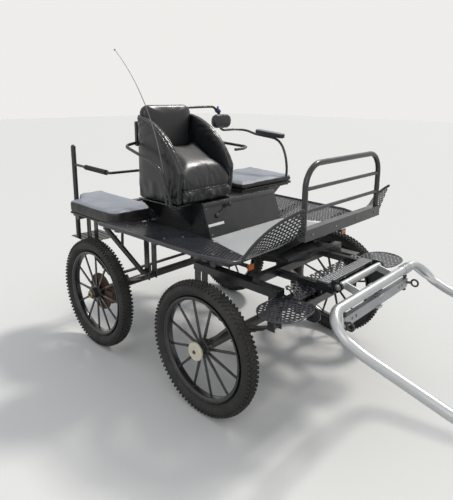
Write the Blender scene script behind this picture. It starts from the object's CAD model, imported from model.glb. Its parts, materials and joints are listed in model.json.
import json
import math

import bmesh
import bpy
import numpy as np
from mathutils import Matrix, Vector

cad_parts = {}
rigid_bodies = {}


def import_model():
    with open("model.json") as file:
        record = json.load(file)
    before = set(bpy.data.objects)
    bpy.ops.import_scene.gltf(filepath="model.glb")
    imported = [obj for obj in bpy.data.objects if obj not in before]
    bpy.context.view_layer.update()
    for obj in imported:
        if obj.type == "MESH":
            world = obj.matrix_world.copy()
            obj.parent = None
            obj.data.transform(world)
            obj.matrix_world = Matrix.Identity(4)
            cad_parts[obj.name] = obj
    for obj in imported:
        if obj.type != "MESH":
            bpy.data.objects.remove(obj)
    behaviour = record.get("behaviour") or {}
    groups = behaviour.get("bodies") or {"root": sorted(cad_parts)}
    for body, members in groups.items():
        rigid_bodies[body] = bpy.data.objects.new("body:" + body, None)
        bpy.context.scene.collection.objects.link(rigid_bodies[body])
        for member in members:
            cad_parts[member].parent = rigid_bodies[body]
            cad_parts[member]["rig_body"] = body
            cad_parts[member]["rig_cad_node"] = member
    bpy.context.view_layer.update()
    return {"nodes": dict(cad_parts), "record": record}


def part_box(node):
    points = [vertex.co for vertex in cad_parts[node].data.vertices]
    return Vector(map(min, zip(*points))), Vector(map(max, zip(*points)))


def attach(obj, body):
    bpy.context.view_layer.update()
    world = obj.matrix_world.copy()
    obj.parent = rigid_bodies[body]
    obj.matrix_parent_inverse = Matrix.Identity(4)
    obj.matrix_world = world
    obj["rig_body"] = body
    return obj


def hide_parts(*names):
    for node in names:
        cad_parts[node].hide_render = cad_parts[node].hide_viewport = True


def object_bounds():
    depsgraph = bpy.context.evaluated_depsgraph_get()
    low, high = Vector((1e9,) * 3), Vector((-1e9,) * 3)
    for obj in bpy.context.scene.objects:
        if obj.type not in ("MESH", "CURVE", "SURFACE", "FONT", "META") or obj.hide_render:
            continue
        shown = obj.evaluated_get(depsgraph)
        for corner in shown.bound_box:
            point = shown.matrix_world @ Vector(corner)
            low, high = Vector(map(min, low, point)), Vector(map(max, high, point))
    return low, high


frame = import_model()
nodes = frame["nodes"]
print("scene: frame loaded,", len(nodes), "nodes")


# Node helpers

def addNode(tree, kind, **values):
    node = tree.nodes.new(kind)
    for name, value in values.items():
        if hasattr(node, name):
            setattr(node, name, value)
        else:
            node.inputs[name].default_value = value
    return node


def link(tree, source, target):
    tree.links.new(source, target)


def addRange(tree, low, high, start=0.0):
    node = addNode(tree, "ShaderNodeMapRange", clamp=True)
    for name, value in (("From Min", low), ("From Max", high), ("To Min", start)):
        node.inputs[name].default_value = value
    return node


# Noise in the object's own coordinates
def addNoise(tree, **values):
    place = addNode(tree, "ShaderNodeTexCoord")
    noise = addNode(tree, "ShaderNodeTexNoise", **values)
    link(tree, place.outputs["Object"], noise.inputs["Vector"])
    return noise


# Two sockets put together, such as their product or the larger of them
def combine(tree, operation, first, second, clamp=False):
    node = addNode(tree, "ShaderNodeMath", operation=operation, use_clamp=clamp)
    link(tree, first, node.inputs[0])
    link(tree, second, node.inputs[1])
    return node.outputs[0]


# Each colour is given as numbers or as a socket
def mixColours(tree, factor, under, over):
    node = addNode(tree, "ShaderNodeMix", data_type="RGBA")
    link(tree, factor, node.inputs["Factor"])
    for name, colour in (("A", under), ("B", over)):
        if isinstance(colour, tuple):
            node.inputs[name].default_value = (*colour, 1)
        else:
            link(tree, colour, node.inputs[name])
    return node.outputs["Result"]


def newGroup(name, inputs, outputs):
    group = bpy.data.node_groups.new(name, "ShaderNodeTree")
    kinds = {"Normal": "NodeSocketVector"}
    for label, value in inputs.items():
        socket = group.interface.new_socket(label, in_out="INPUT",
                                            socket_type=kinds.get(label, "NodeSocketFloat"))
        socket.default_value = value
    for label in outputs:
        group.interface.new_socket(label, in_out="OUTPUT", socket_type=kinds.get(label, "NodeSocketFloat"))
    return group, group.nodes.new("NodeGroupInput"), group.nodes.new("NodeGroupOutput")


def useGroup(tree, group, **values):
    node = tree.nodes.new("ShaderNodeGroup")
    node.node_tree = group
    for name, value in values.items():
        node.inputs[name].default_value = value
    return node


# Dust lies on faces that look upward, in soft clouds
dustRecipe = {"level": (-0.2, 0.95, 0.25), "clouds": (0.38, 0.72), "detail": 6.0, "roughness": 0.65}


def makeDustGroup():
    group, inside, out = newGroup("dustMask", {"Amount": 0.5, "Scale": 6.0}, ("Mask",))
    geometry = addNode(group, "ShaderNodeNewGeometry")
    split = addNode(group, "ShaderNodeSeparateXYZ")
    upward = addRange(group, *dustRecipe["level"])
    clouds = addNoise(group, Detail=dustRecipe["detail"], Roughness=dustRecipe["roughness"])
    spread = addRange(group, *dustRecipe["clouds"])
    link(group, geometry.outputs["Normal"], split.inputs[0])
    link(group, split.outputs["Z"], upward.inputs["Value"])
    link(group, inside.outputs["Scale"], clouds.inputs["Scale"])
    link(group, clouds.outputs["Fac"], spread.inputs["Value"])
    lying = combine(group, "MULTIPLY", spread.outputs[0], upward.outputs[0])
    link(group, combine(group, "MULTIPLY", lying, inside.outputs["Amount"], True), out.inputs["Mask"])
    return group


# Worn edges, found by comparing a rounded normal with the true one, and broken up by noise
wearRecipe = {"edge": (0.985, 0.86), "chips": (0.46, 0.6), "scale": 90.0, "detail": 5.0, "roughness": 0.7}


def makeEdgeGroup():
    group, inside, out = newGroup("edgeWear", {"Radius": 0.003, "Amount": 0.8}, ("Mask", "Normal"))
    geometry = addNode(group, "ShaderNodeNewGeometry")
    rounded = addNode(group, "ShaderNodeBevel", samples=4)
    meet = addNode(group, "ShaderNodeVectorMath", operation="DOT_PRODUCT")
    edge = addRange(group, *wearRecipe["edge"])
    chips = addNoise(group, Scale=wearRecipe["scale"], Detail=wearRecipe["detail"],
                     Roughness=wearRecipe["roughness"])
    broken = addRange(group, *wearRecipe["chips"])
    link(group, inside.outputs["Radius"], rounded.inputs["Radius"])
    link(group, rounded.outputs[0], meet.inputs[0])
    link(group, geometry.outputs["Normal"], meet.inputs[1])
    link(group, meet.outputs["Value"], edge.inputs["Value"])
    link(group, chips.outputs["Fac"], broken.inputs["Value"])
    worn = combine(group, "MULTIPLY", edge.outputs[0], broken.outputs[0])
    link(group, combine(group, "MULTIPLY", worn, inside.outputs["Amount"], True), out.inputs["Mask"])
    link(group, rounded.outputs[0], out.inputs["Normal"])
    return group


# Uneven roughness and a fine bump, shared by every finish
surfaceRecipe = {"fineDetail": 4.0, "broadScale": 9.0, "broadDetail": 5.0, "roughness": 0.6,
                 "spread": (0.35, 0.65), "depth": 0.0006}


def makeSurfaceGroup():
    group, inside, out = newGroup(
        "fineSurface", {"Scale": 120.0, "Bump": 0.1, "Low": 0.3, "High": 0.5, "Normal": (0, 0, 0)},
        ("Roughness", "Normal"))
    fine = addNoise(group, Detail=surfaceRecipe["fineDetail"], Roughness=surfaceRecipe["roughness"])
    broad = addNoise(group, Scale=surfaceRecipe["broadScale"], Detail=surfaceRecipe["broadDetail"],
                     Roughness=surfaceRecipe["roughness"])
    mixed = addRange(group, *surfaceRecipe["spread"])
    bump = addNode(group, "ShaderNodeBump", Distance=surfaceRecipe["depth"])
    link(group, inside.outputs["Scale"], fine.inputs["Scale"])
    link(group, broad.outputs["Fac"], mixed.inputs["Value"])
    link(group, inside.outputs["Low"], mixed.inputs["To Min"])
    link(group, inside.outputs["High"], mixed.inputs["To Max"])
    link(group, fine.outputs["Fac"], bump.inputs["Height"])
    link(group, inside.outputs["Bump"], bump.inputs["Strength"])
    link(group, inside.outputs["Normal"], bump.inputs["Normal"])
    link(group, mixed.outputs[0], out.inputs["Roughness"])
    link(group, bump.outputs[0], out.inputs["Normal"])
    return group


# Faces that look upward, for covers with another colour on top than round the sides
topSharpness = 8.0


def makeTopGroup():
    group, inside, out = newGroup("topMask", {"Level": 0.6}, ("Mask",))
    place = addNode(group, "ShaderNodeTexCoord")
    split = addNode(group, "ShaderNodeSeparateXYZ")
    sharp = addNode(group, "ShaderNodeMath", operation="MULTIPLY", use_clamp=True)
    sharp.inputs[1].default_value = topSharpness
    link(group, place.outputs["Normal"], split.inputs[0])
    link(group, combine(group, "SUBTRACT", split.outputs["Z"], inside.outputs["Level"]), sharp.inputs[0])
    link(group, sharp.outputs[0], out.inputs["Mask"])
    return group


dustGroup = makeDustGroup()
topGroup = makeTopGroup()
edgeGroup = makeEdgeGroup()
surfaceGroup = makeSurfaceGroup()


# One recipe for every finish: two tones, another colour round the sides, worn edges, dust
finishRecipe = {"metallic": 0.0, "coat": 0.0, "coatRoughness": 0.2, "grain": 160.0, "bump": 0.12,
                "dustScale": 7.0, "toneScale": 5.0, "toneDetail": 5.0, "topLevel": 0.6, "edgeRadius": 0.003,
                "wornColour": (0.30, 0.29, 0.28), "dustColour": (0.34, 0.30, 0.25)}


def makeFinish(name, ownLook):
    look = {**finishRecipe, **ownLook}
    material = bpy.data.materials.new(name)
    material.use_nodes = True
    tree = material.node_tree
    shader = tree.nodes["Principled BSDF"]
    shader.inputs["Metallic"].default_value = look["metallic"]
    shader.inputs["Coat Weight"].default_value = look["coat"]
    shader.inputs["Coat Roughness"].default_value = look["coatRoughness"]
    surface = useGroup(tree, surfaceGroup, Scale=look["grain"], Bump=look["bump"],
                       Low=look["rough"][0], High=look["rough"][1])
    dust = useGroup(tree, dustGroup, Amount=look["dust"], Scale=look["dustScale"])
    tone = addNoise(tree, Scale=look["toneScale"], Detail=look["toneDetail"])
    colour = mixColours(tree, tone.outputs["Fac"], look["colour"], look["second"])
    if "sideColour" in look:
        top = useGroup(tree, topGroup, Level=look["topLevel"])
        colour = mixColours(tree, top.outputs["Mask"], look["sideColour"], colour)
    if "edge" in look:
        edge = useGroup(tree, edgeGroup, Radius=look["edgeRadius"], Amount=look["edge"])
        link(tree, edge.outputs["Normal"], surface.inputs["Normal"])
        colour = mixColours(tree, edge.outputs["Mask"], colour, look["wornColour"])
    colour = mixColours(tree, dust.outputs["Mask"], colour, look["dustColour"])
    link(tree, colour, shader.inputs["Base Color"])
    link(tree, surface.outputs["Roughness"], shader.inputs["Roughness"])
    link(tree, surface.outputs["Normal"], shader.inputs["Normal"])
    return material


finishLooks = {
    "blackSteel": {"colour": (0.0052, 0.0062, 0.0082), "second": (0.0085, 0.0102, 0.0130),
                   "rough": (0.24, 0.40), "coat": 0.3, "dust": 0.07, "edge": 0.35},
    "bluePlate": {"colour": (0.008, 0.009, 0.016), "second": (0.014, 0.016, 0.028),
                  "rough": (0.26, 0.40), "coat": 0.35, "dust": 0.08},
    "greyPlate": {"colour": (0.34, 0.35, 0.36), "second": (0.42, 0.43, 0.44),
                  "rough": (0.45, 0.62), "metallic": 0.2, "dust": 0.25, "edge": 0.2},
    "wheelPaint": {"colour": (0.007, 0.007, 0.008), "second": (0.012, 0.012, 0.013),
                   "rough": (0.22, 0.36), "coat": 0.35, "dust": 0.06, "edge": 0.4},
    "tyreRubber": {"colour": (0.009, 0.009, 0.009), "second": (0.017, 0.016, 0.015),
                   "rough": (0.62, 0.85), "dust": 0.09, "dustScale": 11.0, "bump": 0.25},
    "shaftMetal": {"colour": (0.40, 0.42, 0.43), "second": (0.52, 0.53, 0.54),
                   "rough": (0.32, 0.48), "metallic": 0.8, "dust": 0.15, "edge": 0.2},
    "springSteel": {"colour": (0.016, 0.015, 0.014), "second": (0.034, 0.030, 0.027),
                    "rough": (0.42, 0.62), "metallic": 0.3, "dust": 0.22, "edge": 0.4},
    "axleSteel": {"colour": (0.012, 0.012, 0.012), "second": (0.028, 0.024, 0.022),
                  "rough": (0.36, 0.56), "dust": 0.22, "edge": 0.3},
    "rustyIron": {"colour": (0.050, 0.026, 0.016), "second": (0.125, 0.066, 0.036),
                  "rough": (0.7, 0.9), "metallic": 0.35, "dust": 0.2, "toneScale": 40.0, "bump": 0.35},
    "creamPlastic": {"colour": (0.54, 0.48, 0.36), "second": (0.66, 0.61, 0.50),
                     "rough": (0.42, 0.6), "dust": 0.35},
    "dullBrass": {"colour": (0.36, 0.27, 0.13), "second": (0.26, 0.19, 0.10),
                  "rough": (0.38, 0.58), "metallic": 0.85, "dust": 0.25},
    "darkWood": {"colour": (0.0085, 0.0080, 0.0078), "second": (0.0150, 0.0138, 0.0130),
                 "rough": (0.40, 0.60), "dust": 0.15, "edge": 0.2},
    "gripFoam": {"colour": (0.007, 0.007, 0.008), "second": (0.012, 0.012, 0.013),
                 "rough": (0.7, 0.88), "bump": 0.5, "grain": 500.0, "dust": 0.08},
    "whipRod": {"colour": (0.17, 0.165, 0.15), "second": (0.11, 0.105, 0.095),
                "rough": (0.3, 0.45), "dust": 0.1},
    "swingMetal": {"colour": (0.28, 0.29, 0.31), "second": (0.38, 0.39, 0.41),
                   "rough": (0.35, 0.5), "metallic": 0.7, "dust": 0.2, "edge": 0.3},
    "boltMetal": {"colour": (0.30, 0.30, 0.30), "second": (0.20, 0.19, 0.17),
                  "rough": (0.3, 0.5), "metallic": 0.85, "dust": 0.2},
    "reflectorPlastic": {"colour": (0.75, 0.16, 0.02), "second": (0.62, 0.11, 0.015),
                         "rough": (0.18, 0.3), "coat": 0.6, "dust": 0.15},
    "bluePlastic": {"colour": (0.012, 0.022, 0.12), "second": (0.018, 0.030, 0.16),
                    "rough": (0.3, 0.45), "dust": 0.1},
    "labelWhite": {"colour": (0.72, 0.72, 0.70), "second": (0.80, 0.80, 0.78),
                   "rough": (0.35, 0.5), "dust": 0.15},
    "blackLeather": {"colour": (0.0056, 0.0064, 0.0078), "second": (0.0088, 0.0100, 0.0122),
                     "rough": (0.28, 0.42), "coat": 0.15, "coatRoughness": 0.28, "bump": 0.3,
                     "grain": 260.0, "dust": 0.02},
    "blackPiping": {"colour": (0.020, 0.020, 0.022), "second": (0.030, 0.030, 0.033),
                    "rough": (0.2, 0.32), "coat": 0.4, "dust": 0.05},
    "greyCover": {"colour": (0.20, 0.22, 0.26), "second": (0.28, 0.30, 0.34),
                  "rough": (0.40, 0.58), "bump": 0.25, "grain": 260.0, "dust": 0.1,
                  "sideColour": (0.008, 0.008, 0.009)},
}
finishes = {name: makeFinish(name, look) for name, look in finishLooks.items()}
print("scene: finishes made,", len(finishes))


# A finish is called as its slot in the record, in camelCase, apart from the reflectors'
def slotFinish(slotName):
    first, *rest = slotName.split("_")
    return "reflectorPlastic" if slotName == "reflector" else first + "".join(map(str.capitalize, rest))


for entry in frame["record"]["subparts"]:
    mesh = nodes[entry["node"]].data
    mesh.materials.clear()
    mesh.materials.append(finishes[slotFinish(entry["material_slot"])])
print("scene: finishes given to the CAD nodes")


# Modelling helpers

def clearSelection():
    if bpy.context.object and bpy.context.object.mode != "OBJECT":
        bpy.ops.object.mode_set(mode="OBJECT")
    bpy.ops.object.select_all(action="DESELECT")


def makeActive(piece):
    clearSelection()
    piece.select_set(True)
    bpy.context.view_layer.objects.active = piece


# Edit mode on one piece, with all of its mesh selected
def editAll(piece):
    makeActive(piece)
    bpy.ops.object.mode_set(mode="EDIT")
    bpy.ops.mesh.select_all(action="SELECT")


def applyModifier(piece, kind, **settings):
    makeActive(piece)
    modifier = piece.modifiers.new(kind, kind)
    for name, value in settings.items():
        setattr(modifier, name, value)
    bpy.ops.object.modifier_apply(modifier=modifier.name)


def settle(piece):
    makeActive(piece)
    bpy.ops.object.transform_apply(location=True, rotation=True, scale=True)


def moveMesh(piece, place, turn=Matrix()):
    piece.data.transform(Matrix.Translation(place) @ turn)


def startBlock(size=(1, 1, 1)):
    clearSelection()
    bpy.ops.mesh.primitive_cube_add(size=1.0)
    block = bpy.context.object
    block.scale = size
    settle(block)
    return block


def startBall(radius, segments, rings):
    clearSelection()
    bpy.ops.mesh.primitive_uv_sphere_add(segments=segments, ring_count=rings, radius=radius)
    return bpy.context.object


# A closed outline in the plane across the wheel is turned round the axle
def startSpun(outline, steps):
    clearSelection()
    bpy.ops.mesh.primitive_circle_add(vertices=len(outline), radius=1.0, fill_type="NOTHING")
    spun = bpy.context.object
    for vertex, (radius, along) in zip(spun.data.vertices, outline):
        vertex.co = (0, along, radius)
    applyModifier(spun, "SCREW", axis="Y", angle=2 * math.pi, steps=steps, render_steps=steps,
                  use_merge_vertices=True, use_smooth_shade=True)
    editAll(spun)
    bpy.ops.mesh.normals_make_consistent(inside=False)
    bpy.ops.object.mode_set(mode="OBJECT")
    return spun


def joinPieces(name, pieces):
    clearSelection()
    for piece in pieces:
        piece.select_set(True)
    bpy.context.view_layer.objects.active = pieces[0]
    if len(pieces) > 1:
        bpy.ops.object.join()
    pieces[0].name = name
    pieces[0].data.name = name
    return pieces[0]


def copyPiece(piece, name):
    twin = piece.copy()
    twin.data = piece.data.copy()
    twin.name = name
    bpy.context.scene.collection.objects.link(twin)
    return twin


def mirrored(piece, name):
    twin = copyPiece(piece, name)
    twin.data.transform(Matrix.Scale(-1, 4, (0, 1, 0)))
    twin.data.flip_normals()
    return twin


def finishPiece(piece, finish, body, smoothAngle=40.0):
    makeActive(piece)
    piece.data.materials.clear()
    piece.data.materials.append(finishes[finish])
    bpy.ops.object.shade_smooth_by_angle(angle=math.radians(smoothAngle))
    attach(piece, body)
    return piece


# A finished piece takes the place of a CAD node, and its finish goes to one of the record's slots
def standFor(nodeName, slotName, piece, finish, body, smoothAngle=40.0):
    finishPiece(piece, finish, body, smoothAngle)
    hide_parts(nodeName)


turntableLow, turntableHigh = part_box("turntable_upper")
kingpinX = (turntableLow.x + turntableHigh.x) / 2


# A place measured in metres from the kingpin's foot
def at(x, y, z):
    return Vector((kingpinX + x, y, z))


def makeRod(name, points, radius, cyclic=False, rings=3, thin=1.0):
    curve = bpy.data.curves.new(name, "CURVE")
    curve.dimensions = "3D"
    curve.bevel_depth = radius
    curve.bevel_resolution = rings
    curve.use_fill_caps = True
    line = curve.splines.new("POLY")
    line.points.add(len(points) - 1)
    for k, (point, place) in enumerate(zip(line.points, points)):
        point.co = (*place, 1)
        point.radius = 1.0 + (thin - 1.0) * (k / (len(points) - 1))
    line.use_cyclic_u = cyclic
    holder = bpy.data.objects.new(name, curve)
    bpy.context.scene.collection.objects.link(holder)
    makeActive(holder)
    bpy.ops.object.convert(target="MESH")
    return bpy.context.object


# A point at a share of the way along the arc from a through b to c
def arcPoint(a, b, c, share):
    normal = (b - a).cross(c - a)
    toMiddle = normal.cross(b - a) * (c - a).length_squared + (c - a).cross(normal) * (b - a).length_squared
    middle = a + toMiddle / (2 * normal.length_squared)
    spoke = a - middle
    whole = spoke.angle(b - middle) + (b - middle).angle(c - middle)
    return middle + Matrix.Rotation(whole * share, 3, normal) @ spoke


# The corners of an open line are replaced by tangent arcs of the given radii
def roundCorners(points, bends, steps=6):
    places = [Vector(point) for point in points]
    line = [places[0]]
    for before, corner, after, bend in zip(places, places[1:], places[2:], bends):
        into, away = (before - corner).normalized(), (after - corner).normalized()
        half = into.angle(away) / 2
        tangent = bend / math.tan(half)
        middle = corner + (into + away).normalized() * (bend / math.sin(half))
        first = (corner + into * tangent - middle).normalized()
        last = (corner + away * tangent - middle).normalized()
        for k in range(steps + 1):
            line.append(middle + first.slerp(last, k / steps) * bend)
    line.append(places[-1])
    return line


# Soft goods: a plain solid is shrunk, remeshed, and swollen by cloth pressure

def meshBox(piece):
    places = [vertex.co for vertex in piece.data.vertices]
    return [Vector([pick(place[i] for place in places) for i in range(3)]) for pick in (min, max)]


def shrinkMesh(piece, amount):
    low, high = meshBox(piece)
    middle = (low + high) / 2
    factor = [1 - 2 * amount[i] / (high[i] - low[i]) for i in range(3)]
    for vertex in piece.data.vertices:
        vertex.co = [middle[i] + (vertex.co[i] - middle[i]) * factor[i] for i in range(3)]


# Pairs of points at the ends of each edge sharper than angle
def sharpEdges(piece, angle):
    work = bmesh.new()
    work.from_mesh(piece.data)
    bmesh.ops.remove_doubles(work, verts=work.verts, dist=1e-5)
    found = [(edge.verts[0].co.copy(), edge.verts[1].co.copy()) for edge in work.edges
             if len(edge.link_faces) == 2 and edge.calc_face_angle() > angle]
    work.free()
    return found


def nearSeams(piece, seams, reach):
    places = np.array([vertex.co for vertex in piece.data.vertices])
    nearest = np.full(len(places), np.inf)
    for start, end in seams:
        a, b = np.array(start), np.array(end)
        along = np.clip((places - a) @ (b - a) / max((b - a) @ (b - a), 1e-12), 0, 1)
        gap = np.linalg.norm(places - (a + along[:, None] * (b - a)), axis=1)
        nearest = np.minimum(nearest, gap)
    return [int(k) for k in np.nonzero(nearest < reach)[0]]


# Angles are in degrees, shares from 0 to 1
paddingLook = {"frames": 20, "quality": 5, "seamAngle": 35.0, "flatAngle": 1.0, "alongAxis": 0.95,
               "cornerSegments": 6, "edgeSegments": 4, "firstSmooth": 0.8, "lastSmooth": 0.5,
               "lastRounds": 2}


# The cloth is held at its seams and at its foot, and no point travels further than the cap
def swell(piece, look, seams):
    rest = [vertex.co.copy() for vertex in piece.data.vertices]
    makeActive(piece)
    cloth = piece.modifiers.new("cloth", "CLOTH")
    cloth.settings.use_pressure = True
    cloth.settings.uniform_pressure_force = look["pressure"]
    cloth.settings.effector_weights.gravity = 0
    cloth.settings.quality = paddingLook["quality"]
    cloth.point_cache.frame_start = 1
    cloth.point_cache.frame_end = paddingLook["frames"]
    cloth.settings.shrink_min = -look["loose"]
    held = piece.vertex_groups.new(name="held")
    held.add(nearSeams(piece, seams, look["seamReach"]), 1.0, "REPLACE")
    foot = meshBox(piece)[0].z + look["held"]
    held.add([vertex.index for vertex in piece.data.vertices if vertex.co.z < foot], 1.0, "REPLACE")
    cloth.settings.vertex_group_mass = "held"
    for frameNumber in range(1, paddingLook["frames"] + 1):
        bpy.context.scene.frame_set(frameNumber)
    bpy.ops.object.modifier_apply(modifier="cloth")
    bpy.context.scene.frame_set(1)
    for vertex, start in zip(piece.data.vertices, rest):
        travel = vertex.co - start
        if travel.length > 0:
            vertex.co = start + travel.normalized() * look["cap"] * math.tanh(travel.length / look["cap"])


def padStart(nodeName):
    if nodeName in padBlocks:
        block = padBlocks[nodeName]
        piece = startBlock()
        for vertex in piece.data.vertices:
            rear, right, low = (value < 0 for value in vertex.co)
            heights = block["rearHeights" if rear else "frontHeights"]
            x = block["rear"] if rear else block["front"] - (0 if low else block["lean"])
            vertex.co = at(x, block["sides"][0 if right else 1], heights[0 if low else 1])
    else:
        piece = copyPiece(nodes[nodeName], nodeName)
        piece.parent = None
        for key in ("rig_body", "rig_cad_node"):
            if key in piece:
                del piece[key]
        settle(piece)
    piece.name = nodeName + "Soft"
    return piece


# Edges along one axis, above a level and ahead of a front, are given a large round
def roundEdges(piece, axis, width, level, front=None):
    editAll(piece)
    bpy.ops.mesh.select_mode(type="EDGE")
    bpy.ops.mesh.remove_doubles(threshold=1e-5)
    bpy.ops.mesh.dissolve_limited(angle_limit=math.radians(paddingLook["flatAngle"]))
    bpy.ops.mesh.select_all(action="DESELECT")
    bpy.ops.object.mode_set(mode="OBJECT")
    for edge in piece.data.edges:
        a, b = (piece.data.vertices[k].co for k in edge.vertices)
        middle = (a + b) / 2
        ahead = front is None or middle.x > front + kingpinX
        follows = abs((b - a).normalized()[axis]) > paddingLook["alongAxis"]
        edge.select = follows and middle.z > level and ahead
    bpy.ops.object.mode_set(mode="EDIT")
    bpy.ops.mesh.bevel(offset=width, segments=paddingLook["cornerSegments"])
    bpy.ops.object.mode_set(mode="OBJECT")


# Below a seam the leather is pulled in and falls in folds, each a wave across and down the cover
foldLook = {"waves": ((41.0, 9.0, 0.0, 1.0), (83.0, -21.0, 1.7, 0.55), (17.0, 31.0, 0.6, 0.6)),
            "tuck": 0.0065, "tuckReach": 0.008, "flat": 0.8, "sag": 0.8}


def gatherCover(piece, look):
    level, depth = look["gather"]
    lowest = meshBox(piece)[0].z
    ways = [vertex.normal.copy() for vertex in piece.data.vertices]
    for vertex, way in zip(piece.data.vertices, ways):
        place = vertex.co
        if place.x < kingpinX + look["gatherFrom"] or abs(way.z) > foldLook["flat"]:
            continue
        across = place.y + place.x
        drop = level - place.z
        tuck = foldLook["tuck"] if "seamHeight" in look else 0.0
        move = -tuck * math.exp(-(drop / foldLook["tuckReach"]) ** 2)
        if drop > 0:
            share = math.sin(math.pi * min(drop / (level - lowest), 1.0) ** foldLook["sag"])
            move += depth * share * sum(high * math.sin(wide * across + slant * drop + start)
                                        for wide, slant, start, high in foldLook["waves"])
        vertex.co = place + way * move


def softPiece(nodeName, look):
    piece = padStart(nodeName)
    shrinkMesh(piece, look["shrink"])
    if "corner" in look:
        roundEdges(piece, *look["corner"])
    seams = sharpEdges(piece, math.radians(paddingLook["seamAngle"]))
    if "seamHeight" in look:
        low, high = meshBox(piece)
        seams.append([Vector((high.x, y, look["seamHeight"])) for y in (low.y, high.y)])
    applyModifier(piece, "BEVEL", width=look["round"], segments=paddingLook["edgeSegments"],
                  limit_method="ANGLE")
    applyModifier(piece, "REMESH", mode="VOXEL", voxel_size=look["voxel"])
    applyModifier(piece, "SMOOTH", factor=paddingLook["firstSmooth"], iterations=look["smooth"])
    swell(piece, look, seams)
    applyModifier(piece, "SMOOTH", factor=paddingLook["lastSmooth"], iterations=paddingLook["lastRounds"])
    if "gather" in look:
        gatherCover(piece, look)
    applyModifier(piece, "SUBSURF", levels=1)
    standFor(nodeName, look["slot"], piece, look["finish"], "chassis", 180.0)
    print("scene: soft piece", piece.name, len(piece.data.polygons))


# Pads that start from a plain block: rear and front, lean of the top, sides, and low and high heights
padBlocks = {
    "seat_back": {"rear": -0.715, "front": -0.631, "lean": 0.024, "sides": (-0.448, -0.064),
                  "rearHeights": (0.9855, 1.534), "frontHeights": (0.9855, 1.534)},
    "passenger_back_pad": {"rear": -0.773, "front": -0.727, "lean": 0.0, "sides": (0.200, 0.372),
                           "rearHeights": (1.352, 1.448), "frontHeights": (1.352, 1.448)},
    "passenger_arm_pad": {"rear": -0.640, "front": -0.396, "lean": 0.0, "sides": (0.502, 0.564),
                          "rearHeights": (1.308, 1.345), "frontHeights": (1.285, 1.322)},
}
# "corner" holds the axis, width, level and front that roundEdges takes, "gather" a level and a depth
leather = {"finish": "blackLeather", "slot": "black_leather"}
grey = {"finish": "greyCover", "slot": "grey_cover"}
leatherPad = {**leather, "smooth": 9, "voxel": 0.007, "pressure": 4.0, "cap": 0.014, "fill": 0.8,
              "loose": 0.02, "seamReach": 0.010}
bolsterPad = {**leatherPad, "shrink": (0.004, 0.004, 0.004), "round": 0.015, "cap": 0.013, "held": 0.010,
              "gather": (1.110, 0.0045), "gatherFrom": -0.75}
smallPad = {"smooth": 6, "voxel": 0.004, "pressure": 1.5, "cap": 0.004, "fill": 0.7, "loose": 0.01,
            "seamReach": 0.006, "shrink": (0.002, 0.002, 0.002)}
coverPad = {**grey, "smooth": 5, "voxel": 0.009, "pressure": 3.0, "cap": 0.007, "fill": 0.7, "loose": 0.01,
            "seamReach": 0.007, "round": 0.012, "shrink": (0.003, 0.003, 0.002), "held": 0.008,
            "corner": (2, 0.022, 0.0)}
softLooks = {
    "seat_cushion": {**leatherPad, "shrink": (0.006, -0.004, 0.004), "round": 0.020, "cap": 0.024,
                     "held": 0.020, "corner": (1, 0.055, 1.12, -0.36), "seamHeight": 1.066,
                     "gather": (1.066, 0.0075), "gatherFrom": -0.345},
    "seat_back": {**leatherPad, "voxel": 0.008, "shrink": (0.006, 0.001, 0.002), "round": 0.024,
                  "held": 0.06, "corner": (0, 0.055, 1.50)},
    "seat_bolster_right": bolsterPad,
    "seat_bolster_left": bolsterPad,
    "passenger_pad": coverPad,
    "passenger_back_pad": {**smallPad, **leather, "round": 0.014, "held": 0.0, "corner": (0, 0.042, 0.0)},
    "passenger_arm_pad": {**smallPad, **grey, "round": 0.010, "held": 0.002, "corner": (2, 0.024, 0.0)},
    "bench_pad_right": coverPad,
    "bench_pad_left": coverPad,
}
for softName, softLook in softLooks.items():
    softPiece(softName, softLook)
print("scene: soft goods made")


# Axles and wheels, measured from the kingpin's foot
axles = {"front": {"x": 0.0, "springY": 0.370, "springBody": "undercarriage"},
         "rear": {"x": -0.967, "springY": 0.430, "springBody": "chassis"}}
wheelHeight = 0.350


# Copies of one model, drawn about the wheel's middle, stand for both wheels' nodes on an axle
def dressWheels(model, axle, copyName, nodeName, slotName, finish):
    for side in ("right", "left"):
        wheelName = axle + "_" + side
        low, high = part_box("tyre_" + wheelName)
        wheel = copyPiece(model, copyName + wheelName)
        moveMesh(wheel, (low + high) / 2)
        standFor(nodeName + wheelName, slotName, wheel, finish, "wheel_" + wheelName + "_body")


# Tyres: a round carcass with five rows of knobs
tyreLook = {"radius": 0.350, "bead": 0.268, "halfWidth": 0.040, "root": 0.008, "crownShare": 0.97,
            "beadShare": 0.80, "beadFrom": -0.3, "ring": 24, "steps": 120, "knobCount": 88,
            "knobSize": (0.0135, 0.0125, 0.010), "knobTaper": 0.78, "knobBevel": 0.0012,
            "knobRows": ((-0.031, 0.3345, 38.0), (-0.0165, 0.3405, 12.0), (0.0, 0.3425, 0.0),
                         (0.0165, 0.3405, -12.0), (0.031, 0.3345, -38.0))}  # along the axle, seat, lean


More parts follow.
